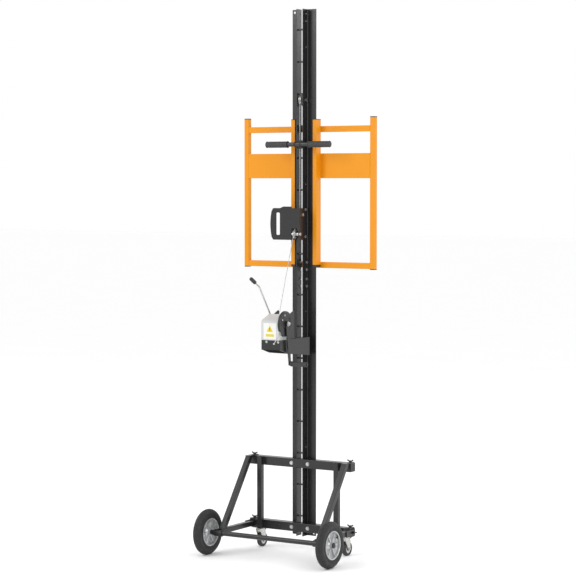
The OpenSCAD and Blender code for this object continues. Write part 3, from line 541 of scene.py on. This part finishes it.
bm = bmesh.new()
for x in (-28, 49):
    washer_y(bm, x, -305.05, 1226, 0.2, 7.5, 1.2)
    lathe_y(bm, x, 1226, [(6.2, -306.2), (6.2, -309.2), (5.2, -310.1)], 6, cap=True)
piece("tray_bolts", bm, "zinc", "chassis", 30)

# Washer, nut and thread end that hold the crank on its shaft
bm = bmesh.new()
washer_x(bm, SHAFT, 81.55, 1, 6.9, 13, 1.4)
hexagon(bm, SHAFT, 83.0, 89.6, 19)
lathe_x(bm, SHAFT, [(6.2, 89.4), (6.2, 91.4), (5.2, 92.2)], 32, cap=True)
piece("crank_nut", bm, "zinc", "crank", 30)

bm = bmesh.new()
for at in ((-213, 1326), (-294, 1350), (-268, 1374)):
    lathe_x(bm, at, [(5.0, COVER_X), (5.0, 70.6), (4.2, 71.5), (2.0, 71.6), (1.8, 70.6)], 24,
            cap=True)
piece("cover_screws", bm, "zinc", "chassis", 30)

# Raised centre of the brake cover, and three pressed rings round it
bm = bmesh.new()
lathe_x(bm, SHAFT, [(26, 68.9), (25, 70.8), (17, 71.6), (15.2, 71.5), (15.2, 68.9), (26, 68.9)], 48)
for k in range(3):
    r = 32 + 8 * k
    lathe_x(bm, SHAFT, [(r, COVER_X), (r + 1, COVER_X + 1), (r + 3, COVER_X + 1),
                        (r + 4, COVER_X)], 72)
piece("cover_rings", bm, "frame_black", "chassis", 30)


# ----------------------------------------------------------- grips and cables

bm = bmesh.new()
for s in SIDES:
    for k in range(11):
        x = s * (84 + k * 10.5)
        lathe_x(bm, HANDLE, [(16.9, x - 2.8), (18.0, x - 1.6), (18.0, x + 1.6),
                             (16.9, x + 2.8)], 40)
    lathe_x(bm, HANDLE, [(17.0, s * 204.0), (18.6, s * 205.2), (18.4, s * 208.4),
                         (16.4, s * 209.8)], 40)
piece("handle_ribs", bm, "grip", "chassis", 30)

GRIP = polar(SHAFT, 226, math.atan2(-225, 28))      # the crank's turning grip
bm = bmesh.new()
for k in range(8):
    x = 99 + k * 10
    lathe_x(bm, GRIP, [(12.9, x - 2.6), (13.9, x - 1.2), (13.9, x + 1.2), (12.9, x + 2.6)], 40)
piece("crank_grip_ribs", bm, "grip", "crank_handle", 30)

DRUM = polar(SHAFT, 51, math.radians(-30.6))
TURNS, PER_TURN, PITCH = 14, 28, 4.15
coil = [(-37.5 + PITCH * i / PER_TURN, *polar(DRUM, 31.6, TAU * i / PER_TURN))
        for i in range(TURNS * PER_TURN + 1)]
bm = bmesh.new()
tube(bm, coil, 1.9, 6)
piece("drum_windings", bm, "cable", "winch_drum", 60)

# The falling cable between the carriage's anchor and the head sheave, a straight tube in the box of
# cable_drop
low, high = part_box("cable_drop")
centre, radius = (low + high) / 2, (high.x - low.x) / 2
FALL_STEPS, FALL_SIDES = 96, 10
loops = []
for i in range(FALL_STEPS + 1):
    z = low.z + (high.z - low.z) * i / FALL_STEPS
    turns = [TAU * k / FALL_SIDES for k in range(FALL_SIDES)]
    loops.append([Vector((centre.x + radius * math.cos(t), centre.y + radius * math.sin(t), z))
                  for t in turns])
bm = bmesh.new()
rings(bm, loops, cap=True)
fall = piece("falling_cable", bm, "cable", None, 60)
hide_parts("cable_drop")
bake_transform(fall)

# Swaged ferrule where the falling cable meets its anchor
bm = bmesh.new()
loops = [[P(r * math.cos(TAU * i / 24), 63 + r * math.sin(TAU * i / 24), z) for i in range(24)]
         for r, z in ((4.6, 1688), (5.6, 1690), (5.6, 1708), (4.4, 1712), (2.4, 1714))]
rings(bm, loops, cap=True)
piece("cable_ferrule", bm, "zinc", "carriage", 40)


# ------------------------------------------------------------- winch label

def card(bm, points, y, t=0.5):
    """Thin card with its face towards -Y; points are [x, z] in mm."""
    rings(bm, [[P(x, y, z) for x, z in points], [P(x, y - t, z) for x, z in points]], cap=True)


def arc_points(cx, cz, r, start, sweep, n):
    """[x, z] points of an arc, from start degrees through sweep degrees."""
    angles = [math.radians(start + sweep * i / n) for i in range(n + 1)]
    return [(cx + r * math.cos(a), cz + r * math.sin(a)) for a in angles]


def rounded(x0, x1, z0, z1, r):
    """Outline of a rectangle with rounded corners."""
    corners = ((x1 - r, z1 - r), (x0 + r, z1 - r), (x0 + r, z0 + r), (x1 - r, z0 + r))
    return [p for k, c in enumerate(corners) for p in arc_points(*c, r, 90 * k, 90, 5)]


def triangle(cx, cz, size, r):
    """Outline of a triangle with rounded corners, one of them on top."""
    out = []
    for base in (90, 210, 330):
        px = cx + size * math.cos(math.radians(base))
        pz = cz + size * math.sin(math.radians(base))
        out += arc_points(px, pz, r, base - 60, 120, 4)
    return out


bm = bmesh.new()
card(bm, rounded(-44, 38, 1242, 1331, 4), LABEL_Y)
piece("label_card", bm, "label", "chassis", 30)
bm = bmesh.new()
card(bm, triangle(-3, 1294, 19, 2.5), LABEL_Y - 0.5)
card(bm, rounded(-29, 23, 1256, 1270, 2), LABEL_Y - 0.5)
piece("label_yellow_marks", bm, "label_yellow", "chassis", 30)
bm = bmesh.new()
for z0, z1 in ((1293, 1305), (1286, 1290)):
    card(bm, rounded(-5, -1, z0, z1, 1.4), LABEL_Y - 1.0, 0.3)
piece("label_dark_marks", bm, "label_dark", "chassis", 30)


# ------------------------------------------------------ floor, light, camera

def floor():
    bm = bmesh.new()
    bmesh.ops.create_grid(bm, x_segments=1, y_segments=1, size=60)
    mesh = bpy.data.meshes.new("floor")
    bm.to_mesh(mesh)
    bm.free()
    obj = bpy.data.objects.new("floor", mesh)
    bpy.context.scene.collection.objects.link(obj)
    g = Graph("floor_paper", rough=0.75)
    g.color(g.noise(1.3, 3.0), [(0.3, (0.982, 0.982, 0.982)), (0.7, (0.99, 0.99, 0.99))])
    mesh.materials.append(g.mat)


def area(name, where, aim, size, power):
    light = bpy.data.lights.new(name, "AREA")
    light.shape, light.size, light.size_y = "RECTANGLE", size[0], size[1]
    light.energy = power
    obj = bpy.data.objects.new(name, light)
    bpy.context.scene.collection.objects.link(obj)
    obj.location = where
    obj.rotation_euler = (Vector(aim) - Vector(where)).to_track_quat("-Z", "Y").to_euler()


floor()
world = bpy.data.worlds.new("studio")
world.use_nodes = True
world.node_tree.nodes["Background"].inputs["Color"].default_value = (1.0, 1.0, 1.0, 1.0)
world.node_tree.nodes["Background"].inputs["Strength"].default_value = 1.0
scene = bpy.context.scene
scene.world = world
scene.view_settings.view_transform = "Standard"
area("key", (-3.2, -5.2, 5.2), (0, 0, 1.5), (2.6, 3.6), 150)
area("side", (5.6, -1.4, 3.2), (0, 0, 1.5), (1.6, 4.0), 60)
area("back", (1.5, 5.0, 4.4), (0, 0, 1.6), (3.0, 2.5), 60)

camera = bpy.data.cameras.new("camera")
camera.sensor_width = 36.0
camera.lens = 125.625           # a long lens, which keeps the mast's edges near parallel
camera.clip_end = 200
view = bpy.data.objects.new("camera", camera)
scene.collection.objects.link(view)
view.location = P(5991, -9712, 2115)
view.rotation_euler = (math.radians(90 - 3.02), 0, math.radians(32))
scene.camera = view
